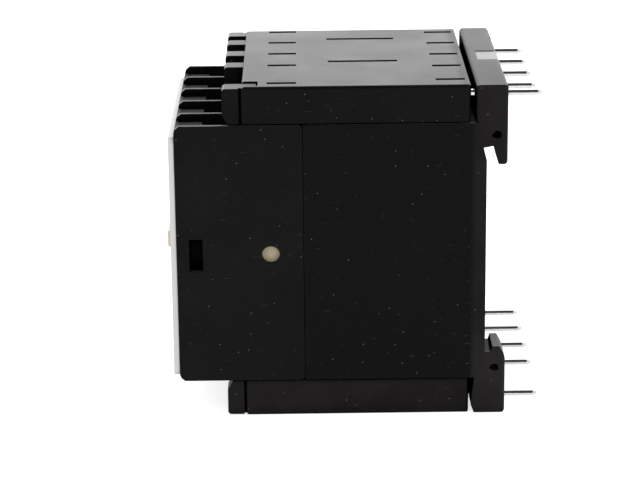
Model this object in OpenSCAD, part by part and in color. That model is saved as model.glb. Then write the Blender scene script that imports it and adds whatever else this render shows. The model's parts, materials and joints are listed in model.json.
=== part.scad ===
// Miniature four-pole contactor with round board pins.
// X is the width, Y the depth from the front face back to the pins, Z the height.
// Depths are counted from the front face of the fascia and shifted at the end.

/* [Lanes] */
// Width of one lane: four poles and one coil lane stand side by side
lane_w = 9; // [8.8:0.1:10]

/* [Housings] */
// Height of the housings between the two terminal covers
body_h = 45; // [44:0.5:50]
// Depth of the front housing, from its front face to the joint
front_depth = 21.5; // [21:0.25:24]
// Depth of the rear housing, from the joint to its rail face
rear_depth = 30.7; // [29:0.1:34]
// Wall of the housings
wall = 1.5; // [1.3:0.1:1.8]
// Thickness of the front fascia
fascia_t = 1; // [0.8:0.1:1.4]
// How far the fascia stops short of the housing's top
fascia_margin = 2; // [1.2:0.1:3]
// How far the fascia stops short of the housing's bottom
fascia_foot = 0.9; // [0.6:0.1:3]
// Width of the ribs between the front channels
channel_rib = 0.8; // [0.6:0.1:1.2]
// Depth of the front channels below the ribs
channel_drop = 1.4; // [1:0.1:2]
// Length of the front channels
channel_l = 5; // [4:0.25:5.5]
// Length of the ramp behind each channel's front lip
ramp_l = 0.6; // [0.3:0.1:1]
// Diameter of the round hole in each side
side_hole_d = 3; // [2.4:0.1:3.6]
// Depth of the blind pocket in each side
pocket_t = 2.2; // [1.6:0.1:2.4]

/* [Terminal covers] */
// Height of each terminal cover
cover_h = 6.5; // [6:0.25:8]
// Wall of the terminal covers
cover_wall = 1.2; // [1:0.1:1.5]
// Depth at which the covers start, from the front face
cover_start = 12.4; // [12.2:0.1:13.5]
// Length of the barrier fingers in front of the covers
finger_l = 3.3; // [2.5:0.1:4]
// Width of the barrier fingers
finger_w = 3.6; // [3:0.1:4.4]
// Width of the slots in the cover roofs
roof_slot_w = 1.2; // [0.8:0.1:1.6]
// Length of the short roof slots
roof_slot_l = 4.9; // [3:0.1:5.4]
// Length of the two long roof slots
long_slot_l = 12; // [8:0.5:14]
// Gap between each cover and the rear bar
cover_gap = 0.9; // [0.6:0.1:1.4]
// Gap between each cover and the housings below it
cover_seam = 0.2; // [0.1:0.05:0.25]

/* [Rear bars and rail hooks] */
// Depth of the rear bars
bar_depth = 5.3; // [5:0.1:6.5]
// How far the bars stand behind the rail face
bar_proud = 3.5; // [3.3:0.1:4.2]
// How far the lower bar stands back between the hooks
bar_setback = 1.8; // [0.6:0.1:2.2]
// Width of the rail that the hooks take
rail_w = 35; // [34.8:0.1:35.2]
// Play above the rail
rail_play = 1.3; // [0.8:0.1:1.8]
// Thickness of the slot that takes the rail's edge
rail_slot = 1.15; // [1.05:0.05:1.5]
// Height of the upper hooks below the slot's roof
upper_hook_h = 3; // [2:0.1:4]
// Height of the lower lips above the slot's floor
lower_lip_h = 1; // [0.8:0.1:1.6]
// Width of the hooks
hook_w = 6.9; // [4:0.1:8]
// Width of the lower hook beside the first pole pin
narrow_hook_w = 1.2; // [1:0.1:1.2]
// Diameter of the cross hole through each hook
hook_hole_d = 1.6; // [1:0.1:2]

/* [Board pins] */
// Diameter of the board pins
pin_d = 1; // [0.8:0.05:1.2]
// Length of the pins beyond the rear bars
pin_l = 5.9; // [4:0.1:7]
// Height of the pole pins beyond the housing
pole_pin_h = 2.75; // [2.2:0.05:2.8]
// Height of the coil pins beyond the housing
coil_pin_h = 4.3; // [4:0.1:4.4]
// Sideways offset of the pole pins from their lanes
pin_shift = 1.5; // [1:0.1:1.8]

/* [Contacts] */
// Thickness of the contact strips
strip_t = 0.8; // [0.6:0.05:1]
// Width of the contact strips in their chambers
strip_w = 5; // [4:0.1:6]
// Gap between a strip's run under the cover and the cover's side wall
run_gap = 0.1; // [0.05:0.05:0.4]
// Diameter of the contact tips
tip_d = 3; // [2.4:0.1:3.4]
// Thickness of one contact tip
tip_t = 0.7; // [0.5:0.05:0.9]
// Height of the contact tips above and below the middle
tip_spread = 8.6; // [8.2:0.1:9.4]
// Open distance between the tips
contact_gap = 2.1; // [1.8:0.1:2.4]
// Gap between the moving bridges and the carrier's walls
bridge_gap = 0.2; // [0.1:0.05:0.4]
// Thickness of the moving bridges
bridge_t = 0.8; // [0.6:0.05:1]

/* [Carrier and springs] */
// Travel of the carrier, armature and bridges
stroke = 3.2; // [2.8:0.1:3.4]
// Height of the carrier's frame
carrier_h = 11.6; // [10.8:0.2:12]
// Width of the front actuator
actuator_w = 5; // [3:0.25:7]
// Height of the front actuator
actuator_h = 2.9; // [2:0.1:3.4]
// How far the actuator stands out of the front at rest
actuator_proud = 1.6; // [0.8:0.1:2.4]
// Length of the contact springs as fitted
contact_spring_l = 4.8; // [4.4:0.1:5.2]
// Outer diameter of the contact springs
contact_spring_d = 3; // [2.8:0.1:3.4]
// Wire of the contact springs
contact_wire = 0.4; // [0.3:0.05:0.45]
// Length of the return springs as fitted
return_spring_l = 9.8; // [9:0.1:11]
// Gap on either side of each return spring, to the magnet and to the wall
spring_gap = 0.6; // [0.45:0.05:0.75]
// Wire of the return springs
return_wire = 0.45; // [0.35:0.05:0.5]

/* [Magnet and coil] */
// Width of the magnet core over its outer legs
core_w = 32; // [31:0.25:32.5]
// Thickness of the lamination stack
stack_t = 11; // [10:0.25:11.5]
// Width of the centre leg
centre_leg_w = 10; // [9:0.25:11]
// Width of each outer leg
outer_leg_w = 6; // [5.5:0.25:6.5]
// Thickness of the yokes
yoke_t = 5; // [4.5:0.1:5.4]
// Length of the armature's legs
armature_leg_l = 4; // [3:0.25:4.5]
// Wall of the coil bobbin
bobbin_wall = 0.8; // [0.6:0.05:1]
// Height of the winding over its longer sides
winding_h = 19.4; // [17:0.2:21]
// Diameter of the pin that holds the armature
armature_pin_d = 2; // [1.6:0.1:2.4]

/* [Hidden] */
$fn = 48;

// Clearances
fit = 0.2;          // beside a piece that is pushed into place
face_gap = 0.1;     // between flat faces that meet
slide_gap = 0.3;    // beside faces that slide past each other
bore_gap = 0.05;    // around a pin in its bore
cut = 0.5;          // how far a cut runs past the face it opens

// Lanes across the width
pole_count = 4;
lane_count = pole_count + 1;
body_w = lane_count * lane_w;
half_w = body_w / 2;
inner_x = half_w - wall;
function lane_x(i) = (i - (lane_count + 1) / 2) * lane_w;
coil_x = lane_x(lane_count);
coil_pin_x = coil_x + 0.8;
lane_edges = [for (i = [1 : lane_count - 1]) lane_x(i) + lane_w / 2];
pole_edges = [for (i = [1 : pole_count - 1]) lane_x(i) + lane_w / 2];

// Heights
body_bottom = cover_h;
body_top = cover_h + body_h;
mid_z = cover_h + body_h / 2;
total_h = body_h + 2 * cover_h;
inner_h = body_h / 2 - wall;
pole_pin_z = body_top + pole_pin_h;
coil_pin_z = body_top + coil_pin_h;

// Depths of the housings and bars
front_face = fascia_t;
joint = fascia_t + front_depth;
rail_face = joint + rear_depth;
bar_back = rail_face + bar_proud;
bar_front = bar_back - bar_depth;
lower_bar_back = bar_back - bar_setback;
pin_tip = bar_back + pin_l;
shank_d = pin_d + 0.2;
pin_play = 0.08;
rear_inner = rail_face - wall;
cover_end = bar_front - cover_gap;
finger_front = cover_start - finger_l;
run_w = 2 * (lane_w / 2 - fit - cover_wall - run_gap - pin_shift);

// Joint between the housings: a lip of the rear one sits in the front one
lip_t = 0.6;
lip_l = 1.5;
lip_x = inner_x + lip_t;
lip_z = inner_h + lip_t;

// Depths of the contact system, from front to back
stop_l = 3.2;
stop_end = front_face + wall + stop_l;
carrier_front = stop_end + face_gap;
carrier_bar_t = 1.4;
carrier_bar_end = carrier_front + carrier_bar_t;
bridge_front = carrier_bar_end + contact_spring_l;
bridge_back = bridge_front + bridge_t;
ledge_front = bridge_back + face_gap;
moving_tip_face = bridge_back + tip_t;
fixed_tip_face = moving_tip_face + contact_gap;
strip_front = fixed_tip_face + tip_t;
strip_back = strip_front + strip_t;
plate_front = strip_back - 1.2;
plate_back = strip_back + 1;
seat_l = 1.8;

// Depths of the magnet
armature_front = plate_back + face_gap;
armature_yoke_back = armature_front + yoke_t;
armature_pole_face = armature_yoke_back + armature_leg_l;
core_pole_face = armature_pole_face + stroke + face_gap;
buffer_t = 0.8;
core_back = rear_inner - buffer_t - 2 * face_gap;
core_yoke_front = core_back - yoke_t;
flange_t = 0.9;
bobbin_front = armature_yoke_back + stroke + slide_gap;
bobbin_back = core_yoke_front - face_gap;

// Sizes across the magnet
leg_inner_x = core_w / 2 - outer_leg_w;
tube_x = centre_leg_w / 2 + fit;
tube_z = stack_t / 2 + fit;
flange_x = leg_inner_x - slide_gap;
flange_z = 12.4;
winding_x = flange_x - 0.7;

// Carrier
carrier_x = inner_x - fit;
cheek_t = 0.8;
divider_t = 1.4;
bridge_w = 2 * (lane_w / 2 - wall - fit - cheek_t - bridge_gap);
carrier_half = carrier_h / 2;
leg_half = 3;
leg_t = 1.5;
leg_z = stack_t / 2 + fit;
leg_reach = leg_z + leg_t;
armature_pin_y = armature_front + yoke_t / 2;
side_hole_y = 16.9;
pad_h = 4.4;
pad_t = 0.5;
pad_start = side_hole_y - side_hole_d / 2 - stroke - fit;
pad_end = side_hole_y + side_hole_d / 2 + fit;
guide_t = pad_t + slide_gap - fit;
actuator_z = mid_z - 3.1;
spring_boss_l = 1;

// Side pocket
pocket_y = [3.1, 5.4];
pocket_h = 5.7;
pocket_wall = 0.6;
pocket_x = half_w - pocket_t;
boss_x = pocket_x - pocket_wall;
boss_end = pocket_y[1] + pocket_wall;

// Chambers of the front housing
pit_end = cover_start - 0.2;
pit_wall = 1.2;
chamber_start = pit_end + pit_wall;
chamber_low_h = 12.5;
carrier_channel_h = leg_reach + slide_gap;
pit_h = 8;
rib_end = joint - lip_l - fit;
pole_rib = 1;

// Return springs, beside the magnet
return_spring_d = inner_x - core_w / 2 - 2 * spring_gap;
return_spring_x = inner_x - spring_gap - return_spring_d / 2;
return_boss_d = return_spring_d - 2 * return_wire - 2 * fit;
spring_shelf = plate_back + return_spring_l;
shelf_t = 1.5;
shelf_h = 5;

// Rail hooks, as heights from the ground
rail_shift = 0.25;
rail_floor = mid_z + rail_shift - (rail_w + rail_play) / 2;
rail_roof = rail_floor + rail_w + rail_play;
hook_t = 1.55;
hook_inner = bar_back - hook_t;
hook_hole_y = bar_back - 1.9;
hook_hole_rise = 2;
hook_hole_drop = 2.9;
upper_hook_x = [[-half_w, -half_w + hook_w], [half_w - hook_w, half_w]];
lower_hook_x = [[-half_w, -half_w + narrow_hook_w], [half_w - hook_w, half_w]];

// Coil terminals
terminal_y = bobbin_back - flange_t - face_gap - strip_t;
lug_x = half_w - wall - 1;

mid_y = (pin_tip - actuator_proud) / 2;

black = [0.11, 0.11, 0.115];
cream = [0.88, 0.83, 0.68];
pale_grey = [0.8, 0.8, 0.79];
tin = [0.8, 0.8, 0.8];
silver = [0.86, 0.86, 0.84];
copper = [0.78, 0.42, 0.24];
steel = [0.55, 0.56, 0.58];

// Moves a node from its counted depths to the part's own origin
module placed()
    translate([0, -mid_y, 0])
        children();

// A block from its ranges in width, depth and height
module slab(x, y, z)
    translate([x[0], y[0], z[0]])
        cube([x[1] - x[0], y[1] - y[0], z[1] - z[0]]);

// A side profile, drawn as depth by height, carried over the width
module across(x)
    translate([x[0], 0, 0])
        rotate([90, 0, 90])
            linear_extrude(x[1] - x[0])
                children();

// A front profile, drawn as width by height, carried along the depth
module along(y)
    translate([0, y[1], 0])
        rotate([90, 0, 0])
            linear_extrude(y[1] - y[0])
                children();

// A plan profile, drawn as width by depth, carried up over the heights
module upward(z)
    translate([0, 0, z[0]])
        linear_extrude(z[1] - z[0])
            children();

module rod_x(x, y, z, d)
    translate([x[0], y, z])
        rotate([0, 90, 0])
            cylinder(h = x[1] - x[0], d = d);

module rod_y(x, y, z, d)
    translate([x, y[0], z])
        rotate([-90, 0, 0])
            cylinder(h = y[1] - y[0], d = d);

module rod_z(x, y, z, d)
    translate([x, y, z[0]])
        cylinder(h = z[1] - z[0], d = d);

// The piece and its mirror image about the middle height
module both_ends() {
    children();
    translate([0, 0, 2 * mid_z])
        mirror([0, 0, 1])
            children();
}

module both_sides() {
    children();
    mirror([1, 0, 0])
        children();
}

module lower_end()
    translate([0, 0, 2 * mid_z])
        mirror([0, 0, 1])
            children();

// What is cut away to round a profile's corner; out points away from the solid
module round_off(corner, r, out)
    translate([corner[0] - out[0] * r, corner[1] - out[1] * r])
        difference() {
            translate([out[0] > 0 ? 0 : -r - cut, out[1] > 0 ? 0 : -r - cut])
                square(r + cut);
            circle(r);
        }

// A rectangle with round corners, centred, as squares and circles
module soft_rect(w, h, r)
    union() {
        square([w - 2 * r, h], center = true);
        square([w, h - 2 * r], center = true);
        for (x = [-1, 1], y = [-1, 1])
            translate([x * (w / 2 - r), y * (h / 2 - r)])
                circle(r);
    }

// A compression spring along the depth, with a closed turn at each end
module coil_spring(x, y, z, d, wire, turns) {
    steps = 16;
    sides = 6;
    free = y[1] - y[0] - wire;
    closed = wire * 1.05;
    count = turns * steps;
    function rise(t) =
        t < 1 ? closed * t
        : t > turns - 1 ? free - closed * (turns - t)
        : closed + (free - 2 * closed) * (t - 1) / (turns - 2);
    function ring_point(k, j) =
        let (turn = k * 360 / steps,
             around = j * 360 / sides,
             r = (d - wire) / 2 + wire / 2 * cos(around))
        [x + r * cos(turn),
         y[0] + wire / 2 + rise(k / steps) + wire / 2 * sin(around),
         z + r * sin(turn)];
    points = [for (k = [0 : count], j = [0 : sides - 1]) ring_point(k, j)];
    walls = [for (k = [0 : count - 1], j = [0 : sides - 1])
        [k * sides + j, k * sides + (j + 1) % sides,
         (k + 1) * sides + (j + 1) % sides, (k + 1) * sides + j]];
    start = [for (j = [sides - 1 : -1 : 0]) j];
    end = [for (j = [0 : sides - 1]) count * sides + j];
    polyhedron(points, concat(walls, [start, end]), convexity = 10);
}

// Front housing

front_chamfer_y = 0.85;
front_chamfer_z = 1.1;
joint_r = 0.7;
housing_end = joint - face_gap;

module front_profile()
    difference() {
        polygon([
            [front_face + front_chamfer_y, body_bottom],
            [housing_end, body_bottom],
            [housing_end, body_top],
            [front_face + front_chamfer_y, body_top],
            [front_face + front_chamfer_y / 4, body_top - front_chamfer_z / 2],
            [front_face, body_top - front_chamfer_z],
            [front_face, body_bottom + front_chamfer_z],
            [front_face + front_chamfer_y / 4, body_bottom + front_chamfer_z / 2]
        ]);
        round_off([housing_end, body_top], joint_r, [1, 1]);
        round_off([housing_end, body_bottom], joint_r, [1, -1]);
    }

// Width of a lane's channel, kept off the side walls
function channel_x(i) = [
    max(lane_x(i) - (lane_w - channel_rib) / 2, -half_w + channel_rib),
    min(lane_x(i) + (lane_w - channel_rib) / 2, half_w - channel_rib)
];

// A channel's cut: over the front lip, down a ramp and back along the floor
module channel_profile()
    polygon([
        [front_face - cut, body_top - front_chamfer_z],
        [front_face, body_top - front_chamfer_z],
        [front_face + ramp_l, body_top - channel_drop],
        [front_face + channel_l, body_top - channel_drop],
        [front_face + channel_l, body_top + cut],
        [front_face - cut, body_top + cut]
    ]);

module front_channels()
    for (i = [1 : lane_count]) {
        across(channel_x(i))
            channel_profile();
        slab(channel_x(i),
             [front_face + channel_l - cut, pit_end],
             [body_top - pit_h, body_top + cut]);
    }

module contact_chambers() {
    // Channel of the carrier over the whole width
    slab([-inner_x, inner_x],
         [front_face + wall, joint + cut],
         [mid_z - carrier_channel_h, mid_z + carrier_channel_h]);
    // One chamber for each lane, above and below the carrier
    both_ends()
        for (i = [1 : lane_count]) {
            x = [max(lane_x(i) - (lane_w - pole_rib) / 2, -inner_x),
                 min(lane_x(i) + (lane_w - pole_rib) / 2, inner_x)];
            slab(x, [front_face + wall, joint + cut], [mid_z, mid_z + chamber_low_h]);
            slab(x, [chamber_start, joint + cut], [mid_z, mid_z + inner_h]);
        }
    // Behind the ribs the chambers are one space
    slab([-inner_x, inner_x], [rib_end, joint + cut], [mid_z - inner_h, mid_z + inner_h]);
}

// Steps on the pole ribs that take the force on the fixed strips
module strip_seats()
    both_ends()
        for (i = [1 : pole_count], side = [-1, 1]) {
            near = strip_w / 2 - 0.8;
            far = lane_w / 2 - pole_rib / 4;
            slab([lane_x(i) + (side > 0 ? near : -far), lane_x(i) + (side > 0 ? far : -near)],
                 [strip_back + face_gap, strip_back + face_gap + seat_l],
                 [mid_z + tip_spread + tip_d / 2 + 0.6, mid_z + inner_h + cut]);
        }

module front_housing()
    placed()
    color(black)
    difference() {
        union() {
            difference() {
                across([-half_w, half_w])
                    front_profile();
                contact_chambers();
                both_ends()
                    front_channels();
            }
            strip_seats();
            // Posts that stop the carrier
            both_sides()
                rod_y(lane_w, [front_face + wall - cut, stop_end], mid_z, 3);
            // Walls of the blind side pockets
            both_sides()
                slab([boss_x, inner_x + cut],
                     [front_face + wall - cut, boss_end],
                     [mid_z - pocket_h / 2 - pocket_wall, mid_z + pocket_h / 2 + pocket_wall]);
        }
        // Slots for the contact strips
        both_ends()
            for (i = [1 : pole_count])
                slab([lane_x(i) - strip_w / 2 - fit, lane_x(i) + strip_w / 2 + fit],
                     [strip_front - fit, strip_back + fit],
                     [mid_z + inner_h - cut, body_top + cut]);
        // Opening for the front actuator
        slab([-actuator_w / 2 - slide_gap, actuator_w / 2 + slide_gap],
             [front_face - cut, front_face + wall + cut],
             [actuator_z - actuator_h / 2 - slide_gap, actuator_z + actuator_h / 2 + slide_gap]);
        both_sides() {
            // Side pocket, side hole and the guide behind it
            slab([pocket_x, half_w + cut], pocket_y, [mid_z - pocket_h / 2, mid_z + pocket_h / 2]);
            rod_x([inner_x - cut, half_w + cut], side_hole_y, mid_z, side_hole_d);
            slab([inner_x - cut, inner_x + guide_t],
                 [pad_start - slide_gap, joint + cut],
                 [mid_z - pad_h / 2 - slide_gap, mid_z + pad_h / 2 + slide_gap]);
        }
        // Rebate for the lip of the rear housing
        slab([-lip_x - face_gap, lip_x + face_gap],
             [joint - lip_l - fit, joint + cut],
             [mid_z - lip_z - face_gap, mid_z + lip_z + face_gap]);
        // Peg holes of the fascia
        for (x = [-1, 1], z = [-1, 1])
            rod_y(x * peg_x, [front_face - cut, front_face + peg_l + face_gap], mid_z + z * peg_z, peg_d + 2 * bore_gap);
    }

// Front fascia

peg_d = 1.8;
peg_l = 1;
peg_x = 17;
peg_z = 17.5;

module front_fascia()
    placed()
    color(pale_grey)
    difference() {
        union() {
            translate([0, 0, mid_z + (fascia_foot - fascia_margin) / 2])
                rotate([-90, 0, 0])
                    linear_extrude(fascia_t)
                        soft_rect(body_w - 2 * fit, body_h - fascia_foot - fascia_margin, 1);
            for (x = [-1, 1], z = [-1, 1])
                rod_y(x * peg_x, [fascia_t - cut, fascia_t + peg_l], mid_z + z * peg_z, peg_d);
        }
        slab([-actuator_w / 2 - slide_gap, actuator_w / 2 + slide_gap],
             [-cut, fascia_t + cut],
             [actuator_z - actuator_h / 2 - slide_gap, actuator_z + actuator_h / 2 + slide_gap]);
    }

// Rear housing with the pin bars and the rail hooks

module rear_profile()
    difference() {
        translate([joint, body_bottom])
            square([rear_depth, body_h]);
        // Relief under the upper hook
        polygon([
            [rail_face + cut, rail_roof],
            [rail_face - relief_t, rail_roof - roof_slope],
            [rail_face, rail_roof - relief_h],
            [rail_face + cut, rail_roof - relief_h]
        ]);
    }

bar_r = 0.6;
relief_t = 0.55;
relief_h = 2.3;
roof_slope = 0.15;

module upper_bar_profile()
    difference() {
        translate([bar_front, body_top - cut])
            square([bar_depth, cover_h + cut]);
        round_off([bar_front, total_h], bar_r, [-1, 1]);
        round_off([bar_back, total_h], bar_r, [1, 1]);
    }

// The lower bar leans towards the cover and ends in a nub
lower_bar_rise = 0.1;
lower_bar_drop = 0.7;
nub_t = 0.5;
nub_z = [1.4, 2];

module lower_bar_profile(back, top)
    difference() {
        polygon([
            [bar_front, body_bottom + cut],
            [bar_front, body_bottom],
            [bar_front - nub_t, nub_z[1]],
            [bar_front - nub_t, nub_z[0]],
            [bar_front, lower_bar_rise],
            [back, lower_bar_rise],
            [back, top],
            [rail_face - cut, body_bottom + cut]
        ]);
        round_off([back, lower_bar_rise], bar_r, [1, -1]);
    }

hook_tip_r = 0.6;

module upper_hook_profile()
    difference() {
        polygon([
            [rail_face - cut, body_top],
            [rail_face - cut, rail_roof - roof_slope],
            [rail_face + rail_slot, rail_roof + roof_slope],
            [hook_inner, rail_roof - upper_hook_h],
            [bar_back, rail_roof - upper_hook_h],
            [bar_back, body_top]
        ]);
        round_off([bar_back, rail_roof - upper_hook_h], hook_tip_r, [1, -1]);
    }

lip_lean = 0.3;
lip_slope = [0.7, 1.3];

module lower_hook_profile()
    polygon([
        [rail_face - cut, body_bottom],
        [rail_face - cut, rail_floor],
        [rail_face + rail_slot - lip_lean / 2, rail_floor],
        [rail_face + rail_slot + lip_lean / 2, rail_floor + lower_lip_h],
        [bar_back - lip_slope[0] - lip_lean, rail_floor + lower_lip_h],
        [bar_back - lip_lean, rail_floor - lip_lean],
        [bar_back, rail_floor - lip_slope[1]],
        [bar_back, body_bottom]
    ]);

module rail_hooks() {
    for (x = upper_hook_x)
        difference() {
            across(x)
                upper_hook_profile();
            rod_x([x[0] - cut, x[1] + cut], hook_hole_y, rail_roof + hook_hole_rise, hook_hole_d);
        }
    for (x = lower_hook_x)
        difference() {
            across(x) {
                lower_hook_profile();
                lower_bar_profile(bar_back, body_bottom + cut);
            }
            rod_x([x[0] - cut, x[1] + cut], hook_hole_y, rail_floor - hook_hole_drop, hook_hole_d);
        }
}

recess_w = 6.8;
recess_t = 0.1;

module pin_holes()
    both_ends() {
        for (i = [1 : pole_count])
            pin_shank(lane_x(i) - pin_shift, [bar_front - cut, bar_back + cut], pole_pin_z, pin_play);
        pin_shank(coil_pin_x, [bar_front - cut, bar_back + cut], coil_pin_z, pin_play);
    }

// Rounds the bars' upright corners, and takes a nick out of the upper one
module bar_corners() {
    both_sides() {
        upward([-cut, total_h + cut])
            round_off([half_w, bar_back], bar_r, [1, 1]);
        upward([body_top, total_h + cut])
            round_off([half_w, bar_front], bar_r, [1, -1]);
    }
    slab([nick_x - nick_w / 2, nick_x + nick_w / 2],
         [bar_back - nick_t, bar_back + cut],
         [total_h - nick_h, total_h + cut]);
}

nick_x = lane_edges[0] - 0.5;
nick_w = 2.2;
nick_t = 0.35;
nick_h = 0.9;

module rear_housing()
    placed()
    color(black)
    difference() {
        union() {
            difference() {
                across([-half_w, half_w])
                    rear_profile();
                slab([-inner_x, inner_x],
                     [joint - cut, rear_inner],
                     [mid_z - inner_h, mid_z + inner_h]);
            }
            across([-half_w, half_w])
                upper_bar_profile();
            across([-half_w, half_w])
                lower_bar_profile(lower_bar_back, body_bottom - lower_bar_drop);
            rail_hooks();
            housing_lip();
            magnet_guides();
        }
        pin_holes();
        bar_corners();
        // Slots for the coil terminals
        both_ends()
            slab([coil_pin_x - run_w / 2 - fit, coil_pin_x + run_w / 2 + fit],
                 [terminal_y - fit, terminal_y + strip_t + fit],
                 [mid_z + inner_h - cut, body_top + cut]);
        // Shallow recess in the upper bar's top
        slab([-recess_w / 2, recess_w / 2],
             [bar_front + 1.5, bar_back + cut],
             [total_h - recess_t, total_h + cut]);
    }

// Lip around the rear housing's mouth, open where the carrier's pads travel
module housing_lip()
    difference() {
        slab([-lip_x, lip_x], [joint - lip_l, joint + cut], [mid_z - lip_z, mid_z + lip_z]);
        slab([-inner_x, inner_x],
             [joint - lip_l - cut, joint + 2 * cut],
             [mid_z - inner_h, mid_z + inner_h]);
        slab([-lip_x - cut, lip_x + cut],
             [joint - lip_l - cut, joint],
             [mid_z - pad_h / 2 - 1, mid_z + pad_h / 2 + 1]);
    }

guide_rib = 1.2;
core_rib_inset = 8;
shelf_rib_gap = 1.4;

module magnet_guides() {
    both_ends() {
        both_sides() {
            // Ribs that hold the bobbin's flanges
            slab([tube_x + bobbin_wall, tube_x + bobbin_wall + guide_rib],
                 [bobbin_front, bobbin_back],
                 [mid_z + flange_z + fit, mid_z + inner_h + cut]);
            // Ribs that hold the fixed core's yoke
            slab([core_w / 2 - core_rib_inset, core_w / 2 - core_rib_inset + guide_rib],
                 [core_yoke_front + 1, rear_inner + cut],
                 [mid_z + stack_t / 2 + fit, mid_z + inner_h + cut]);
        }
    }
    // Shelves under the return springs, each on a rib from the rear wall
    both_sides() {
        slab([return_spring_x - return_spring_d / 2, inner_x + cut],
             [spring_shelf, spring_shelf + shelf_t],
             [mid_z - shelf_h / 2, mid_z + shelf_h / 2]);
        slab([core_w / 2 + ring_t + shelf_rib_gap, inner_x + cut],
             [spring_shelf, rear_inner + cut],
             [mid_z - guide_rib / 2, mid_z + guide_rib / 2]);
        rod_y(return_spring_x, [spring_shelf - spring_boss_l, spring_shelf + cut], mid_z, return_boss_d);
    }
}

// Terminal covers

cover_half = half_w - fit;
cover_base = body_top + cover_seam;
cover_r = 0.5;
cover_plan_r = 0.8;
finger_top = total_h - 0.25;
finger_r = 0.6;
divider_wall = 0.8;
divider_shift = 0.5;
groove_l = 0.5;
groove_t = 0.6;
left_slot_setback = 4.2;
right_slot_setback = 5.7;
long_slot_setback = 14.6;
left_slot_y = cover_start + left_slot_setback;
right_slot_y = cover_end - right_slot_setback;
long_slot_y = cover_start + long_slot_setback;
left_slot_shift = -2.7;
right_slot_shift = -1.2;
coil_slot_shift = 1.5;
long_slot_shift = -0.8;
window_gap = 0.6;
window_x = [cover_half - finger_w - window_gap, cover_half - 1];
window_l = 2.7;
window_drop = 1.8;
tongue_t = 0.9;
tongue_gap = 0.3;

// Outside of a cover, round along all its edges but the lower ones
module cover_block()
    difference() {
        across([-cover_half, cover_half])
            difference() {
                translate([cover_start, cover_base])
                    square([cover_end - cover_start, total_h - cover_base]);
                round_off([cover_start, total_h], cover_r, [-1, 1]);
                round_off([cover_end, total_h], cover_r, [1, 1]);
                round_off([cover_end, cover_base], cover_r, [1, -1]);
            }
        both_sides() {
            along([cover_start - cut, cover_end + cut])
                round_off([cover_half, total_h], cover_r, [1, 1]);
            upward([cover_base - cut, total_h + cut]) {
                round_off([cover_half, cover_start], cover_r, [1, -1]);
                round_off([cover_half, cover_end], cover_plan_r, [1, 1]);
            }
        }
    }

module finger_profile()
    difference() {
        polygon([
            [finger_front + 0.9, cover_base],
            [finger_front, cover_base + 1.6],
            [finger_front, finger_top],
            [cover_start + cover_wall / 2, finger_top],
            [cover_start + cover_wall / 2, cover_base]
        ]);
        round_off([finger_front, finger_top], finger_r, [-1, 1]);
    }

// Ranges of the barrier fingers: one at each side and one between the poles
finger_x = concat(
    [[-cover_half, -cover_half + finger_w]],
    [for (x = pole_edges) [x - finger_w / 2, x + finger_w / 2]],
    [[cover_half - finger_w, cover_half]]
);

module roof_slot(x, y, l)
    slab([x - roof_slot_w / 2, x + roof_slot_w / 2],
         [y, y + l],
         [total_h - cover_wall - cut, total_h + cut]);

module terminal_cover()
    difference() {
        union() {
            difference() {
                cover_block();
                slab([-cover_half + cover_wall, cover_half - cover_wall],
                     [cover_start + cover_wall, cover_end - cover_wall],
                     [body_top - cut, total_h - cover_wall]);
                // Window behind the outer finger on the coil side
                slab(window_x,
                     [cover_start - cut, cover_start + window_l],
                     [total_h - window_drop, total_h + cut]);
            }
            for (x = finger_x)
                across(x)
                    finger_profile();
            // Tongue of that finger, lying in the window
            slab([cover_half - finger_w, window_x[1] - tongue_gap],
                 [cover_start, cover_start + window_l - tongue_gap],
                 [finger_top - tongue_t, finger_top]);
            // Barriers between the runs
            for (x = lane_edges)
                slab([x + divider_shift - divider_wall / 2, x + divider_shift + divider_wall / 2],
                     [cover_start + cut, cover_end - cut],
                     [cover_base, total_h - cut]);
        }
        // Grooves between the outer fingers and the cover
        both_sides()
            slab([cover_half - groove_t, cover_half + cut],
                 [cover_start - groove_l, cover_start],
                 [body_top - cut, total_h + cut]);
        for (i = [1 : pole_count]) {
            roof_slot(lane_x(i) + left_slot_shift, left_slot_y, roof_slot_l);
            roof_slot(lane_x(i) + right_slot_shift, right_slot_y, roof_slot_l);
        }
        roof_slot(coil_x + coil_slot_shift, left_slot_y, roof_slot_l);
        roof_slot(coil_x, right_slot_y, roof_slot_l);
        for (x = [pole_edges[0], pole_edges[2]])
            roof_slot(x + long_slot_shift, long_slot_y, long_slot_l);
        // Openings for the pins in the rear wall
        for (i = [1 : pole_count])
            pin_notch(lane_x(i) - pin_shift, pole_pin_z);
        pin_notch(coil_pin_x, coil_pin_z);
    }

module pin_notch(x, z)
    slab([x - shank_d / 2 - fit, x + shank_d / 2 + fit],
         [cover_end - cover_wall - cut, cover_end + cut],
         [body_top - cut, z + shank_d / 2 + fit]);

module upper_cover()
    placed()
    color(black)
    terminal_cover();

module lower_cover()
    placed()
    color(black)
    lower_end()
    terminal_cover();

// Conductors: a strip with its contact face, a run under the cover and a pin

tip_cone = 0.7;

// The part of a pin that runs in the bar: eight flats, grown by play on each side
module pin_shank(x, y, z, play)
    translate([x, y[0], z])
        rotate([-90, 0, 0])
            rotate(180 / 8)
                cylinder(h = y[1] - y[0], d = (shank_d + 2 * play) / cos(180 / 8), $fn = 8);

module board_pin(x, z, start, bar_end) {
    pin_shank(x, [start, bar_end], z, 0);
    rod_y(x, [bar_end, pin_tip - tip_cone], z, pin_d);
    translate([x, pin_tip - tip_cone, z])
        rotate([-90, 0, 0])
            cylinder(h = tip_cone, d1 = pin_d, d2 = pin_d / 2, $fn = 24);
}

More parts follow.
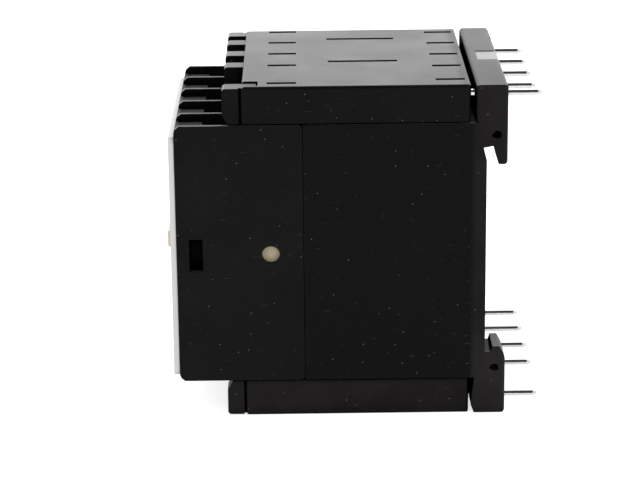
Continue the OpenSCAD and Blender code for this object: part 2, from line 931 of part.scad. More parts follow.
module pole_conductor(i, bar_end) {
    x = lane_x(i);
    run_end = cover_end - cover_wall - 1;
    run_x = [x - pin_shift - run_w / 2, x - pin_shift + run_w / 2];
    slab([x - strip_w / 2, x + strip_w / 2],
         [strip_front, strip_back],
         [mid_z + tip_spread - tip_d / 2 - 0.6, pole_pin_z + strip_t / 2]);
    slab(run_x, [strip_front, run_end], [pole_pin_z - strip_t / 2, pole_pin_z + strip_t / 2]);
    board_pin(x - pin_shift, pole_pin_z, run_end - 2, bar_end);
}

module upper_conductor(i)
    placed()
    color(tin)
    pole_conductor(i, bar_back);

module lower_conductor(i)
    placed()
    color(tin)
    lower_end()
    pole_conductor(i, lower_bar_back);

module coil_terminal() {
    run_end = cover_end - cover_wall - 1;
    x = [coil_pin_x - run_w / 2, coil_pin_x + run_w / 2];
    slab(x, [terminal_y, terminal_y + strip_t], [mid_z + flange_z - 4, coil_pin_z + strip_t / 2]);
    slab(x, [terminal_y, run_end], [coil_pin_z - strip_t / 2, coil_pin_z + strip_t / 2]);
    board_pin(coil_pin_x, coil_pin_z, run_end - 1, bar_back);
}

module upper_coil_terminal()
    placed()
    color(tin)
    coil_terminal();

module lower_coil_terminal()
    placed()
    color(tin)
    lower_end()
    coil_terminal();

module fixed_contact_tips()
    placed()
    color(silver)
    both_ends()
        for (i = [1 : pole_count])
            rod_y(lane_x(i), [fixed_tip_face, strip_front], mid_z + tip_spread, tip_d);

// Carrier with the armature

module contact_carrier()
    placed()
    color(cream)
    difference() {
        union() {
            // Front bar, narrower where it passes the side pockets
            slab([-boss_x + slide_gap, boss_x - slide_gap],
                 [carrier_front, carrier_bar_end],
                 [mid_z - carrier_half, mid_z + carrier_half]);
            both_sides() {
                slab([boss_x - 1, carrier_x],
                     [boss_end + slide_gap, carrier_bar_end],
                     [mid_z - carrier_half, mid_z + carrier_half]);
                slab([carrier_x - cheek_t, carrier_x],
                     [boss_end + slide_gap, plate_back],
                     [mid_z - carrier_half, mid_z + carrier_half]);
                // Pads that slide in the side walls' guides
                slab([carrier_x - fit, carrier_x + pad_t],
                     [pad_start, pad_end],
                     [mid_z - pad_h / 2, mid_z + pad_h / 2]);
                rod_y(return_spring_x, [plate_back - cut, plate_back + spring_boss_l], mid_z, return_boss_d);
            }
            for (x = lane_edges)
                slab([x - divider_t / 2, x + divider_t / 2],
                     [carrier_front, plate_back],
                     [mid_z - carrier_half, mid_z + carrier_half]);
            // Ledge behind the bridges and plate in front of the armature
            slab([-carrier_x, carrier_x], [ledge_front, plate_back], [mid_z - 3, mid_z + 3]);
            slab([-carrier_x, carrier_x],
                 [plate_front, plate_back],
                 [mid_z - carrier_half, mid_z + carrier_half]);
            // Legs that hold the armature
            slab([-leg_half, leg_half],
                 [strip_back + slide_gap, plate_back],
                 [mid_z - leg_reach, mid_z + leg_reach]);
            both_ends()
                slab([-leg_half, leg_half],
                     [strip_back + slide_gap, armature_pin_y + 2.4],
                     [mid_z + leg_z, mid_z + leg_reach]);
            for (i = [1 : pole_count])
                rod_y(lane_x(i), [carrier_bar_end - cut, carrier_bar_end + spring_boss_l], mid_z,
                      contact_spring_d - 2 * contact_wire - 2 * fit);
            slab([-actuator_w / 2, actuator_w / 2],
                 [-actuator_proud, carrier_front + cut],
                 [actuator_z - actuator_h / 2, actuator_z + actuator_h / 2]);
        }
        rod_z(0, armature_pin_y, [mid_z - leg_reach - cut, mid_z + leg_reach + cut],
              armature_pin_d + 2 * bore_gap);
    }

module armature()
    placed()
    color(steel)
    difference() {
        translate([0, 0, mid_z - stack_t / 2])
            linear_extrude(stack_t)
                difference() {
                    translate([-core_w / 2, armature_front])
                        square([core_w, yoke_t + armature_leg_l]);
                    for (side = [-1, 1])
                        translate([side > 0 ? centre_leg_w / 2 : -leg_inner_x, armature_yoke_back])
                            square([leg_inner_x - centre_leg_w / 2, armature_leg_l + cut]);
                }
        rod_z(0, armature_pin_y, [mid_z - stack_t, mid_z + stack_t], armature_pin_d + 2 * bore_gap);
        both_sides()
            rod_z(rivet_x, armature_pin_y, [mid_z - stack_t, mid_z + stack_t], rivet_d + 2 * bore_gap);
    }

module armature_pin()
    placed()
    color(steel)
    rod_z(0, armature_pin_y, [mid_z - leg_reach - 0.2, mid_z + leg_reach + 0.2], armature_pin_d);

rivet_d = 1.6;
rivet_head_d = 2.8;
rivet_head_t = 0.5;
rivet_x = 12.5;

module rivet(x, y) {
    rod_z(x, y, [mid_z - stack_t / 2 - rivet_head_t, mid_z + stack_t / 2 + rivet_head_t], rivet_d);
    both_ends()
        rod_z(x, y, [mid_z + stack_t / 2, mid_z + stack_t / 2 + rivet_head_t], rivet_head_d);
}

module armature_rivets()
    placed()
    color(steel)
    both_sides()
        rivet(rivet_x, armature_pin_y);

// Bridges, their tips and their springs

module moving_bridge(i)
    placed()
    color(copper) {
        reach = tip_spread + tip_d / 2 + 0.2;
        slab([lane_x(i) - bridge_w / 2, lane_x(i) + bridge_w / 2],
             [bridge_front, bridge_back],
             [mid_z - reach, mid_z + reach]);
        rod_y(lane_x(i), [bridge_front - 0.5, bridge_front + cut], mid_z,
              contact_spring_d - 2 * contact_wire - 2 * fit);
    }

module moving_tips(i)
    placed()
    color(silver)
    both_ends()
        rod_y(lane_x(i), [bridge_back, moving_tip_face], mid_z + tip_spread, tip_d);

module contact_spring(i)
    placed()
    color(steel)
    coil_spring(lane_x(i), [carrier_bar_end, bridge_front], mid_z, contact_spring_d, contact_wire, 5);

module return_spring(side)
    placed()
    color(steel)
    coil_spring(side * return_spring_x, [plate_back, spring_shelf], mid_z, return_spring_d, return_wire, 7);

// Fixed magnet core and coil

module fixed_core()
    placed()
    color(steel)
    difference() {
        translate([0, 0, mid_z - stack_t / 2])
            linear_extrude(stack_t)
                difference() {
                    translate([-core_w / 2, core_pole_face])
                        square([core_w, core_back - core_pole_face]);
                    for (side = [-1, 1]) {
                        translate([side > 0 ? centre_leg_w / 2 : -leg_inner_x, core_pole_face - cut])
                            square([leg_inner_x - centre_leg_w / 2, core_yoke_front - core_pole_face + cut]);
                        // Groove for the shading ring
                        translate([side * ring_x - ring_t / 2 - bore_gap, core_pole_face - cut])
                            square([ring_t + 2 * bore_gap, ring_drop + ring_t + cut]);
                    }
                }
        for (x = [-rivet_x, 0, rivet_x])
            rod_z(x, core_rivet_y, [mid_z - stack_t, mid_z + stack_t], rivet_d + 2 * bore_gap);
    }

core_rivet_y = core_back - yoke_t / 2;

module core_rivets()
    placed()
    color(steel)
    for (x = [-rivet_x, 0, rivet_x])
        rivet(x, core_rivet_y);

ring_t = 1;
ring_drop = 0.4;
ring_x = leg_inner_x + 2.2;

// Copper rings around the outer part of each outer pole
module shading_rings()
    placed()
    color(copper)
    both_sides() {
        y = [core_pole_face + ring_drop, core_pole_face + ring_drop + ring_t];
        x = [ring_x - ring_t / 2, core_w / 2 + bore_gap + ring_t];
        half = stack_t / 2 + bore_gap;
        difference() {
            slab(x, y, [mid_z - half - ring_t, mid_z + half + ring_t]);
            slab([x[0] + ring_t, x[1] - ring_t],
                 [y[0] - cut, y[1] + cut],
                 [mid_z - half, mid_z + half]);
        }
    }

buffer_inset = 1;
buffer_w = 7;

module core_buffers()
    placed()
    color("dimgray")
    both_sides()
        slab([core_w / 2 - buffer_inset - buffer_w, core_w / 2 - buffer_inset],
             [core_back + face_gap, core_back + face_gap + buffer_t],
             [mid_z - stack_t / 2 + buffer_inset, mid_z + stack_t / 2 - buffer_inset]);

module coil_bobbin()
    placed()
    color("ivory")
    difference() {
        union() {
            slab([-tube_x - bobbin_wall, tube_x + bobbin_wall],
                 [bobbin_front, bobbin_back],
                 [mid_z - tube_z - bobbin_wall, mid_z + tube_z + bobbin_wall]);
            slab([-flange_x, flange_x],
                 [bobbin_front, bobbin_front + flange_t],
                 [mid_z - flange_z, mid_z + flange_z]);
            slab([-flange_x, flange_x],
                 [bobbin_back - flange_t, bobbin_back],
                 [mid_z - flange_z, mid_z + flange_z]);
            // Lugs that carry the coil terminals
            both_ends()
                slab([0, lug_x],
                     [bobbin_back - flange_t, bobbin_back],
                     [mid_z + flange_z - 4.4, mid_z + flange_z]);
        }
        slab([-tube_x, tube_x], [bobbin_front - cut, bobbin_back + cut], [mid_z - tube_z, mid_z + tube_z]);
    }

module coil_winding()
    placed()
    color(copper)
    translate([0, bobbin_front + flange_t + face_gap, mid_z])
        rotate([-90, 0, 0])
            linear_extrude(bobbin_back - bobbin_front - 2 * (flange_t + face_gap))
                difference() {
                    soft_rect(2 * winding_x, winding_h, 2.5);
                    square([2 * (tube_x + bobbin_wall + bore_gap), 2 * (tube_z + bobbin_wall + bore_gap)],
                           center = true);
                }

rear_housing();
front_housing();
front_fascia();
upper_cover();
lower_cover();
for (i = [1 : pole_count]) {
    upper_conductor(i);
    lower_conductor(i);
    moving_bridge(i);
    moving_tips(i);
    contact_spring(i);
}
upper_coil_terminal();
lower_coil_terminal();
fixed_contact_tips();
contact_carrier();
armature();
armature_pin();
armature_rivets();
return_spring(-1);  // return_spring_left
return_spring(1);  // return_spring_right
fixed_core();
core_rivets();
shading_rings();
core_buffers();
coil_bobbin();
coil_winding();
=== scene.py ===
import json
import math

import bpy
from mathutils import Matrix, Vector


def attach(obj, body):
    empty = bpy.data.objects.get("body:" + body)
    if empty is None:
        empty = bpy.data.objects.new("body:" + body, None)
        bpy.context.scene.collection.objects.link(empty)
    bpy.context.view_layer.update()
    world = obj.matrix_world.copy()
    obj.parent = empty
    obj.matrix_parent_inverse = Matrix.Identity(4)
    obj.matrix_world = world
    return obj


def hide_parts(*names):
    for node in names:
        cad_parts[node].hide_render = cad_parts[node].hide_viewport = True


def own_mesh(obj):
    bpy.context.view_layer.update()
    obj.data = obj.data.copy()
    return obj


MM = 0.001

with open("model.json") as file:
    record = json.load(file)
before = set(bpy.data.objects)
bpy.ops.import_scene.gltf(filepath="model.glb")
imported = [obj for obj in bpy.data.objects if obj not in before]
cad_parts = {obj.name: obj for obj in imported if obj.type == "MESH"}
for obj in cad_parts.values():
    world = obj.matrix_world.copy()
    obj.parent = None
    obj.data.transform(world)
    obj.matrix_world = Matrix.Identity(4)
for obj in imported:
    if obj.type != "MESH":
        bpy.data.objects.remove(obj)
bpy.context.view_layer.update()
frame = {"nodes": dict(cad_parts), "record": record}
NODES = frame["nodes"]

# Camera: the photograph's view, from the side and a little above
PICTURE_WIDTH = 640
SENSOR_WIDTH = 36.0
FOCAL_PIXELS = 2350.7
NEAREST_SEEN = 0.01
CAMERA_PLACE = Vector((400.8, -8.04, 148.5)) * MM
CAMERA_YAW = math.radians(-0.415)
CAMERA_PITCH = math.radians(17.18)
CAMERA_ROLL = math.radians(0.577)

# Stage: a pale floor, which adds light of its own where the camera or a reflection sees
# it. The camera sees a little more of that, so the object's shadow stays soft.
STAGE_SIZE = 6.0
STAGE_WHITE = (0.8, 0.8, 0.8)
STAGE_FILL = 0.42
SHADOW_FILL = 0.3

# Light: a white world and one lamp at the back. Reflections show a darker room above and
# behind the photographer, and its edges fade between these directions.
BACK_LAMP_PLACE = Vector((-900, 0, 300)) * MM
BACK_LAMP_TARGET = Vector((0, 0, 50)) * MM
BACK_LAMP_SIZE = (1.8, 0.55)
BACK_LAMP_WATTS = 6.0
WORLD_LEVEL = 1.0
ROOM_LEVEL = 0.06
ROOM_EDGES = (("X", -0.55, -0.3), ("Z", 0.0, 0.05), ("Y", 0.5, 0.3))

# Finish of the edges: simple pieces get real bevels. The moulded ones have slots and
# rounded corners, and bevels would fold over there, so their materials soften the edges.
EDGE_BEVEL = 0.12 * MM
EDGE_RADIUS = 0.15 * MM
MOULDED_SLOTS = ("black_plastic", "cream_plastic", "tinned_metal")
WELD_DISTANCE = 0.001 * MM
SHARP_ANGLE = math.radians(30)

# The four lanes, each with a contact spring
LANES = (1, 2, 3, 4)

# Where the black pieces change tone: behind the housings' joint, on the rear hooks and bars, and
# on the two covers. The rear bars and the lower cover are lighter, partly wear and partly
# painted light from the floor's bounce, and the lower bar is the lightest.
JOINT_Y = -8.0 * MM
HOOKS_Y = 18.0 * MM
BARS_Y = 20.0 * MM
LOW_COVER_Z = 6.5 * MM
TOP_COVER_Z = 51.6 * MM
LOW_BAR_Z = (17 * MM, 10 * MM)
SHARP_STEP = 0.01 * MM

# Tones of the black plastic, each as its darker and its lighter patches
FRONT_TONES = ((0.0034, 0.0027, 0.0029), (0.0064, 0.0053, 0.0056))
REAR_TONES = ((0.0013, 0.0010, 0.0011), (0.0030, 0.0024, 0.0026))
TOP_COVER_REAR_SHARE = 0.4
# Lighter tones, partly wear and partly painted light bounced from the floor
WORN_AND_BOUNCE_TONES = ((0.0058, 0.0044, 0.0047), (0.0130, 0.0110, 0.0114))
SCRAPED_AND_BOUNCE_TONES = ((0.0125, 0.0105, 0.0105), (0.0210, 0.0180, 0.0180))
SCUFF_TONE = (0.02, 0.019, 0.0185)
PAINTED_HOLE_SHADE = (0, 0, 0)

# Dust on it: the grains' spacing, radius and tone
FINE_DUST = (1.2 * MM, 0.065 * MM, (0.09, 0.088, 0.085))
COARSE_DUST = (1.8 * MM, 0.12 * MM, (0.16, 0.155, 0.15))

# How open its faces have to be, from 0 in a hole to 1 in the open, to show their tone and full
# gloss. Less open faces get painted shade: black, and with less gloss.
# The object's own floor hides half of what the lowest walls could see.
HOLE_REACH = 3.5 * MM
OPEN_WALLS = 0.4
OPEN_LOWEST_WALLS = 0.1
OPEN_WALLS_FADE = 0.4
OPEN_LEVELS = (0.45, 0.7)
OPEN_HOOKS = (0.2, 0.35)
LOOKS_UP = (0.4, 0.8)

# Dust bloom on its tops, as a share of full sheen: in front, and on the rear bars from the lower
# to the upper one. The stronger sheen on the lower bar and the far side, a little paler than the
# near one, are painted light.
FRONT_BLOOM = 0.76
REAR_BLOOM_AND_PAINTED_SHEEN = (1.0, 0.5)
REAR_PAINTED_SHEEN_Z = (20 * MM, 50 * MM)
STAINS = (0.86, 1.08)
FAR_TO_NEAR = (1.03, 0.97)
FAR_TO_NEAR_X = (-20 * MM, 20 * MM)
BLOOM_ROUGHNESS = 0.3
BLOOM_TINT = (0.98, 0.975, 1.0)

# Its gloss, and the smoother recess on top of the upper bar
BLACK_GLOSS = 0.1
BLACK_ROUGHNESS = (0.46, 0.56)
PATCH_GLOSS = 0.13
PATCH_SMOOTHER = 0.26
PATCH_BOX = (
    ("X", -3.4 * MM, 3.4 * MM),
    ("Y", 22.4 * MM, 26.3 * MM),
    ("Z", 57.8 * MM, 58.0 * MM),
)

# Nearly all of a soft noise lies in the first range, and most of it in the second
NOISE_RANGE = (0.3, 0.7)
NOISE_MIDDLE = (0.35, 0.65)


def make_camera():
    turn = Matrix.Rotation(CAMERA_YAW, 3, "Z")
    forward = turn @ Vector((-1, 0, 0))
    right = turn @ Vector((0, 1, 0))
    tip = Matrix.Rotation(-CAMERA_PITCH, 3, right)
    forward = tip @ forward
    lean = Matrix.Rotation(CAMERA_ROLL, 3, forward)
    right = lean @ right
    up = right.cross(forward)
    turned = Matrix((right, up, -forward)).transposed().to_4x4()
    camera = bpy.data.objects.new("camera", bpy.data.cameras.new("camera"))
    camera.data.sensor_width = SENSOR_WIDTH
    camera.data.lens = SENSOR_WIDTH * FOCAL_PIXELS / PICTURE_WIDTH
    camera.data.clip_start = NEAREST_SEEN
    camera.matrix_world = Matrix.Translation(CAMERA_PLACE) @ turned
    bpy.context.scene.collection.objects.link(camera)
    bpy.context.scene.camera = camera


# Building blocks for materials

def connect(tree, socket, value):
    """Links another node's output to a socket, or sets a number or a colour on it."""
    if isinstance(value, bpy.types.NodeSocket):
        tree.links.new(value, socket)
    elif socket.type == "RGBA":
        socket.default_value = (*value, 1)
    else:
        socket.default_value = value


def add(tree, kind, inputs=None, **settings):
    """A node with its settings; inputs take numbers, colours or other nodes' outputs."""
    made = tree.nodes.new(kind)
    for name, value in settings.items():
        setattr(made, name, value)
    for name, value in (inputs or {}).items():
        connect(tree, made.inputs[name], value)
    return made


def new_material(name, metallic=0.0):
    """A material with its tree, its shader and the place on the object in metres."""
    material = bpy.data.materials.new(name)
    material.use_nodes = True
    tree = material.node_tree
    shader = tree.nodes["Principled BSDF"]
    shader.inputs["Metallic"].default_value = metallic
    place = add(tree, "ShaderNodeTexCoord").outputs["Object"]
    return material, tree, shader, place


def noise(tree, place, size, detail=2.0, stretch=None):
    """Soft random values from about 0.3 to 0.7, in patches of that size."""
    if stretch:
        moved = add(tree, "ShaderNodeMapping", {"Vector": place, "Scale": stretch})
        place = moved.outputs["Vector"]
    inputs = {"Vector": place, "Scale": 1 / size, "Detail": detail}
    return add(tree, "ShaderNodeTexNoise", inputs).outputs["Fac"]


def ramp(tree, value, start, end, low=0.0, high=1.0):
    """Takes a value from start..end to low..high, and holds it there outside."""
    inputs = {"Value": value, "From Min": start, "From Max": end, "To Min": low, "To Max": high}
    return add(tree, "ShaderNodeMapRange", inputs).outputs["Result"]


def mix(tree, factor, first, second):
    """The first colour where the factor is 0, up to the second where it is 1."""
    made = add(tree, "ShaderNodeMix", data_type="RGBA")
    sockets = {socket.identifier: socket for socket in (*made.inputs, *made.outputs)}
    connect(tree, sockets["Factor_Float"], factor)
    connect(tree, sockets["A_Color"], first)
    connect(tree, sockets["B_Color"], second)
    return sockets["Result_Color"]


def math_node(tree, operation, first, second):
    made = add(tree, "ShaderNodeMath", operation=operation)
    connect(tree, made.inputs[0], first)
    connect(tree, made.inputs[1], second)
    return made.outputs["Value"]


def larger(tree, first, second):
    return math_node(tree, "MAXIMUM", first, second)


def product(tree, *values):
    found = values[0]
    for value in values[1:]:
        found = math_node(tree, "MULTIPLY", found, value)
    return found


def soft_edges(tree):
    return add(tree, "ShaderNodeBevel", {"Radius": EDGE_RADIUS}, samples=4).outputs["Normal"]


def bump(tree, shader, height, distance, normal=None):
    inputs = {"Height": height, "Distance": distance}
    if normal:
        inputs["Normal"] = normal
    connect(tree, shader.inputs["Normal"], add(tree, "ShaderNodeBump", inputs).outputs["Normal"])


def upward(tree):
    """0 on walls, up to 1 on faces that look up."""
    normal = add(tree, "ShaderNodeNewGeometry").outputs["Normal"]
    height = add(tree, "ShaderNodeSeparateXYZ", {"Vector": normal}).outputs["Z"]
    return ramp(tree, height, *LOOKS_UP)


def openness(tree, reach):
    """1 on open faces, less inside holes and slots."""
    return add(tree, "ShaderNodeAmbientOcclusion", {"Distance": reach}, samples=4).outputs["AO"]


def inside(tree, where, box):
    """1 inside a box given as (axis, low, high), 0 elsewhere."""
    edges = []
    for axis, low, high in box:
        edges.append(ramp(tree, where[axis], low, low + SHARP_STEP))
        edges.append(ramp(tree, where[axis], high + SHARP_STEP, high))
    return product(tree, *edges)


def specks(tree, place, cell, size):
    """1 inside small scattered grains, 0 elsewhere."""
    inputs = {"Vector": place, "Scale": 1 / cell, "Randomness": 1.0}
    grain = add(tree, "ShaderNodeTexVoronoi", inputs).outputs["Distance"]
    return ramp(tree, grain, size / cell, 0.4 * size / cell)


# Materials

def black_tone(tree, place, where, cloud):
    """The black plastic's colour in the open, with its scuffs and dust, and lighter lower parts
    that are partly wear and partly painted bounce light.
    """
    patches = ramp(tree, cloud, *NOISE_MIDDLE)
    front = mix(tree, patches, *FRONT_TONES)
    rear = mix(tree, patches, *REAR_TONES)
    worn_and_bounce = mix(tree, patches, *WORN_AND_BOUNCE_TONES)
    scraped_and_bounce = mix(tree, patches, *SCRAPED_AND_BOUNCE_TONES)
    behind = ramp(tree, where["Y"], JOINT_Y, JOINT_Y + EDGE_RADIUS)
    top_cover = (TOP_COVER_Z - SHARP_STEP, TOP_COVER_Z)
    behind = ramp(tree, where["Z"], *top_cover, behind, TOP_COVER_REAR_SHARE)
    colour = mix(tree, behind, front, rear)
    bars = ramp(tree, where["Y"], BARS_Y, BARS_Y + MM)
    low_cover = ramp(tree, where["Z"], LOW_COVER_Z, LOW_COVER_Z - MM)
    # Lighter rear bars and lower cover, lightest lower bar: partly wear, partly painted bounce
    # light
    colour = mix(tree, larger(tree, bars, low_cover), colour, worn_and_bounce)
    low_bar = product(tree, bars, ramp(tree, where["Z"], *LOW_BAR_Z))
    colour = mix(tree, low_bar, colour, scraped_and_bounce)
    scuffs = ramp(tree, noise(tree, place, 1.4 * MM, 6), 0.66, 0.74, 0, 0.5)
    strokes = noise(tree, place, 1.1 * MM, 1, (1, 0.35, 2.2))
    scuffs = larger(tree, scuffs, ramp(tree, strokes, 0.74, 0.78, 0, 0.7))
    colour = mix(tree, scuffs, colour, SCUFF_TONE)
    for cell, size, tone in (FINE_DUST, COARSE_DUST):
        colour = mix(tree, specks(tree, place, cell, size), colour, tone)
    return colour


def black_openness(tree, where):
    """Two masks from the ambient occlusion, for painted shade: the open faces that look up, and
    all faces outside holes and gaps.
    """
    open_part = openness(tree, HOLE_REACH)
    hooks = ramp(tree, where["Y"], HOOKS_Y, HOOKS_Y + MM)
    hooks = product(tree, hooks, ramp(tree, open_part, *OPEN_HOOKS))
    levels = larger(tree, ramp(tree, open_part, *OPEN_LEVELS), hooks)
    levels = product(tree, upward(tree), levels)
    least = ramp(tree, where["Z"], 0, HOLE_REACH, OPEN_LOWEST_WALLS, OPEN_WALLS)
    most = math_node(tree, "ADD", least, OPEN_WALLS_FADE)
    return levels, larger(tree, ramp(tree, open_part, least, most), levels)


def black_bloom_and_painted_sheen(tree, place, where, levels):
    """The thin dust bloom on the tops, which gives them a sheen at a slant; it is cut in holes
    as painted shade, and its fall from the lower bar to the upper one and from the far side to
    the near one are painted light.
    """
    rear = ramp(tree, where["Z"], *REAR_PAINTED_SHEEN_Z, *REAR_BLOOM_AND_PAINTED_SHEEN)
    bloom_and_painted_sheen = ramp(tree, where["Y"], HOOKS_Y, HOOKS_Y + MM, FRONT_BLOOM, rear)
    stains = noise(tree, place, 11 * MM, 4, (1, 0.6, 1))
    stains = ramp(tree, stains, *NOISE_MIDDLE, *STAINS)
    nearer = ramp(tree, where["X"], *FAR_TO_NEAR_X, *FAR_TO_NEAR)
    return product(tree, levels, bloom_and_painted_sheen, product(tree, stains, nearer))


def black_plastic():
    material, tree, shader, place = new_material("black_plastic")
    where = add(tree, "ShaderNodeSeparateXYZ", {"Vector": place}).outputs
    cloud = noise(tree, place, 9 * MM, 3)
    levels, lit = black_openness(tree, where)
    # Painted shade: black inside holes and gaps, the plastic's tone where it is open
    colour = mix(tree, lit, PAINTED_HOLE_SHADE, black_tone(tree, place, where, cloud))
    connect(tree, shader.inputs["Base Color"], colour)
    shader.inputs["Sheen Roughness"].default_value = BLOOM_ROUGHNESS
    shader.inputs["Sheen Tint"].default_value = (*BLOOM_TINT, 1)
    # Sheen weight: dust bloom, shaped partly as painted light and painted shade
    bloom_and_painted_sheen = black_bloom_and_painted_sheen(tree, place, where, levels)
    connect(tree, shader.inputs["Sheen Weight"], bloom_and_painted_sheen)
    patch = inside(tree, where, PATCH_BOX)
    # Painted shade in the gloss too: less of it inside holes and gaps
    gloss = ramp(tree, lit, 0, 1, 0, BLACK_GLOSS)
    gloss = larger(tree, gloss, product(tree, patch, PATCH_GLOSS))
    connect(tree, shader.inputs["Specular IOR Level"], gloss)
    rough = ramp(tree, cloud, *NOISE_RANGE, *BLACK_ROUGHNESS)
    rough = math_node(tree, "SUBTRACT", rough, product(tree, patch, PATCH_SMOOTHER))
    connect(tree, shader.inputs["Roughness"], rough)
    bump(tree, shader, noise(tree, place, 0.16 * MM, 3), 0.01 * MM, soft_edges(tree))
    return material


def mottled(name, roughness, size, detail, dark, light):
    """A material of one roughness whose tone varies in soft patches."""
    material, tree, shader, place = new_material(name)
    shader.inputs["Roughness"].default_value = roughness
    tone = mix(tree, noise(tree, place, size, detail), dark, light)
    connect(tree, shader.inputs["Base Color"], tone)
    return material, tree, shader, place, tone


def grey_plastic():
    tones = ((0.72, 0.715, 0.71), (0.76, 0.755, 0.75))
    material, tree, shader, place, _ = mottled("grey_plastic", 0.5, 6 * MM, 3, *tones)
    bump(tree, shader, noise(tree, place, 0.2 * MM), 0.01 * MM)
    return material


def cream_plastic():
    """Cream plastic, with painted shade: darker and yellower inside holes."""
    tones = ((0.70, 0.64, 0.47), (0.78, 0.72, 0.56))
    material, tree, shader, place, tone = mottled("cream_plastic", 0.4, 3 * MM, 3, *tones)
    # Painted shade: a darker, yellower tone where the faces are not open
    open_part = ramp(tree, openness(tree, 3 * MM), 0.45, 0.82)
    tone = mix(tree, open_part, (0.55, 0.45, 0.26), tone)
    connect(tree, shader.inputs["Base Color"], tone)
    bump(tree, shader, noise(tree, place, 0.3 * MM), 0.01 * MM, soft_edges(tree))
    return material


def bobbin_plastic():
    tones = ((0.70, 0.67, 0.57), (0.78, 0.75, 0.66))
    return mottled("bobbin_plastic", 0.45, 4 * MM, 2, *tones)[0]


def rubber():
    tones = ((0.015, 0.015, 0.015), (0.03, 0.03, 0.03))
    material, tree, shader, place, _ = mottled("buffer_rubber", 0.75, 1 * MM, 2, *tones)
    bump(tree, shader, noise(tree, place, 0.2 * MM), 0.02 * MM)
    return material


def tinned_metal():
    """Bright tin with fine drawing streaks along the pins."""
    material, tree, shader, place = new_material("tinned_metal", metallic=1.0)
    tone = mix(tree, noise(tree, place, 0.8 * MM, 4), (0.60, 0.60, 0.60), (0.80, 0.80, 0.80))
    connect(tree, shader.inputs["Base Color"], tone)
    streaks = noise(tree, place, 0.25 * MM, 3, (1, 0.1, 1))
    connect(tree, shader.inputs["Roughness"], ramp(tree, streaks, *NOISE_RANGE, 0.04, 0.12))
    bump(tree, shader, streaks, 0.01 * MM, soft_edges(tree))
    return material


def plain_metal(name, dark, light, smooth, rough):
    """A metal whose tone and gloss vary in small patches."""
    material, tree, shader, place = new_material(name, metallic=1.0)
    patches = noise(tree, place, 0.9 * MM, 4)
    connect(tree, shader.inputs["Base Color"], mix(tree, patches, dark, light))
    connect(tree, shader.inputs["Roughness"], ramp(tree, patches, *NOISE_RANGE, smooth, rough))
    bump(tree, shader, noise(tree, place, 0.15 * MM), 0.006 * MM)
    return material


def laminated_steel():
    """Core steel: thin sheets stacked over the height, with dark seams."""
    material, tree, shader, place = new_material("core_steel", metallic=1.0)
    shader.inputs["Roughness"].default_value = 0.42
    inputs = {"Vector": place, "Scale": 100.0, "Distortion": 0.0}
    bands = add(tree, "ShaderNodeTexWave", inputs, bands_direction="Z")
    seam = ramp(tree, bands.outputs["Fac"], 0.1, 0.3)
    tone = mix(tree, noise(tree, place, 2 * MM, 4), (0.34, 0.335, 0.33), (0.46, 0.46, 0.465))
    connect(tree, shader.inputs["Base Color"], mix(tree, seam, (0.1, 0.095, 0.09), tone))
    bump(tree, shader, seam, 0.04 * MM)
    return material


def make_materials():
    for packed in list(bpy.data.materials):
        bpy.data.materials.remove(packed)
    made = [
        black_plastic(), grey_plastic(), cream_plastic(), bobbin_plastic(), tinned_metal(),
        plain_metal("contact_silver", (0.70, 0.69, 0.66), (0.86, 0.85, 0.82), 0.25, 0.4),
        plain_metal("bridge_brass", (0.55, 0.36, 0.18), (0.72, 0.5, 0.28), 0.3, 0.45),
        plain_metal("spring_steel", (0.5, 0.5, 0.5), (0.68, 0.68, 0.69), 0.2, 0.35),
        plain_metal("copper", (0.6, 0.28, 0.15), (0.8, 0.42, 0.26), 0.25, 0.4),
        plain_metal("winding_copper", (0.36, 0.12, 0.05), (0.55, 0.22, 0.09), 0.25, 0.4),
        laminated_steel(), rubber(),
    ]
    return {material.name: material for material in made}


# Pieces

def soften_edges(node):
    weld = node.modifiers.new("weld", "WELD")
    weld.merge_threshold = WELD_DISTANCE
    bevel = node.modifiers.new("edges", "BEVEL")
    bevel.width = EDGE_BEVEL
    bevel.segments = 2
    bevel.limit_method = "ANGLE"
    bevel.angle_limit = SHARP_ANGLE
    bevel.use_clamp_overlap = False
    bevel.loop_slide = False
    bevel.harden_normals = True
    bevel.miter_outer = "MITER_ARC"


def dress_nodes(materials):
    """Gives each carried-over node its material, and bevels the plain ones."""
    for part in frame["record"]["subparts"]:
        node = NODES[part["node"]]
        node.data.materials.clear()
        node.data.materials.append(materials[part["material_slot"]])
        if part["material_slot"] not in MOULDED_SLOTS and "spring" not in part["node"]:
            soften_edges(node)


def press_spring(name):
    """Puts the same coil in a spring node's place, on the housing, and hides the node."""
    coil = bpy.data.objects.new(name + "_coil", NODES[name].data.copy())
    bpy.context.scene.collection.objects.link(coil)
    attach(coil, "housing")
    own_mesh(coil)
    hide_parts(name)


def press_springs():
    for lane in LANES:
        press_spring("contact_spring_%d" % lane)
    for side in ("left", "right"):
        press_spring("return_spring_" + side)


# Stage, world and lamp

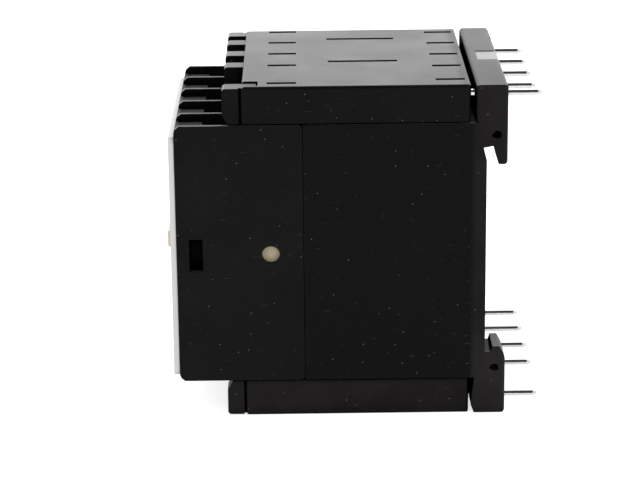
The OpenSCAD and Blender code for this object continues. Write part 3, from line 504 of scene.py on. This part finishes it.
def make_stage():
    mesh = bpy.data.meshes.new("floor")
    half = STAGE_SIZE / 2
    corners = [(-half, -half, 0), (half, -half, 0), (half, half, 0), (-half, half, 0)]
    mesh.from_pydata(corners, [], [(0, 1, 2, 3)])
    floor = bpy.data.objects.new("floor", mesh)
    bpy.context.scene.collection.objects.link(floor)
    material = bpy.data.materials.new("floor")
    material.use_nodes = True
    tree = material.node_tree
    tree.nodes.clear()
    paint = add(tree, "ShaderNodeBsdfDiffuse", {"Color": STAGE_WHITE})
    rays = add(tree, "ShaderNodeLightPath").outputs
    seen = larger(tree, rays["Is Camera Ray"], rays["Is Glossy Ray"])
    seen = larger(tree, seen, rays["Is Transmission Ray"])
    level = product(tree, seen, STAGE_FILL)
    level = math_node(tree, "ADD", level, product(tree, rays["Is Camera Ray"], SHADOW_FILL))
    fill = add(tree, "ShaderNodeEmission", {"Strength": level})
    both = add(tree, "ShaderNodeAddShader")
    tree.links.new(paint.outputs["BSDF"], both.inputs[0])
    tree.links.new(fill.outputs["Emission"], both.inputs[1])
    out = add(tree, "ShaderNodeOutputMaterial")
    tree.links.new(both.outputs["Shader"], out.inputs["Surface"])
    mesh.materials.append(material)


def make_world():
    world = bpy.data.worlds.new("studio")
    bpy.context.scene.world = world
    world.use_nodes = True
    tree = world.node_tree
    background = tree.nodes["Background"]
    background.inputs["Color"].default_value = (1, 1, 1, 1)
    rays = add(tree, "ShaderNodeLightPath").outputs
    towards = add(tree, "ShaderNodeTexCoord").outputs["Generated"]
    split = add(tree, "ShaderNodeSeparateXYZ", {"Vector": towards}).outputs
    edges = [ramp(tree, split[axis], start, end) for axis, start, end in ROOM_EDGES]
    room = product(tree, *edges, rays["Is Glossy Ray"])
    level = ramp(tree, room, 0, 1, WORLD_LEVEL, ROOM_LEVEL)
    connect(tree, background.inputs["Strength"], level)


def make_lamp(name, place, target, size, watts):
    lamp = bpy.data.objects.new(name, bpy.data.lights.new(name, "AREA"))
    lamp.data.shape = "RECTANGLE"
    lamp.data.size, lamp.data.size_y = size
    lamp.data.energy = watts
    lamp.location = place
    lamp.rotation_euler = (target - place).to_track_quat("-Z", "Y").to_euler()
    lamp.visible_camera = False
    bpy.context.scene.collection.objects.link(lamp)


dress_nodes(make_materials())
press_springs()
make_camera()
make_stage()
make_world()
make_lamp("back_lamp", BACK_LAMP_PLACE, BACK_LAMP_TARGET, BACK_LAMP_SIZE, BACK_LAMP_WATTS)
bpy.context.scene.view_settings.view_transform = "Standard"
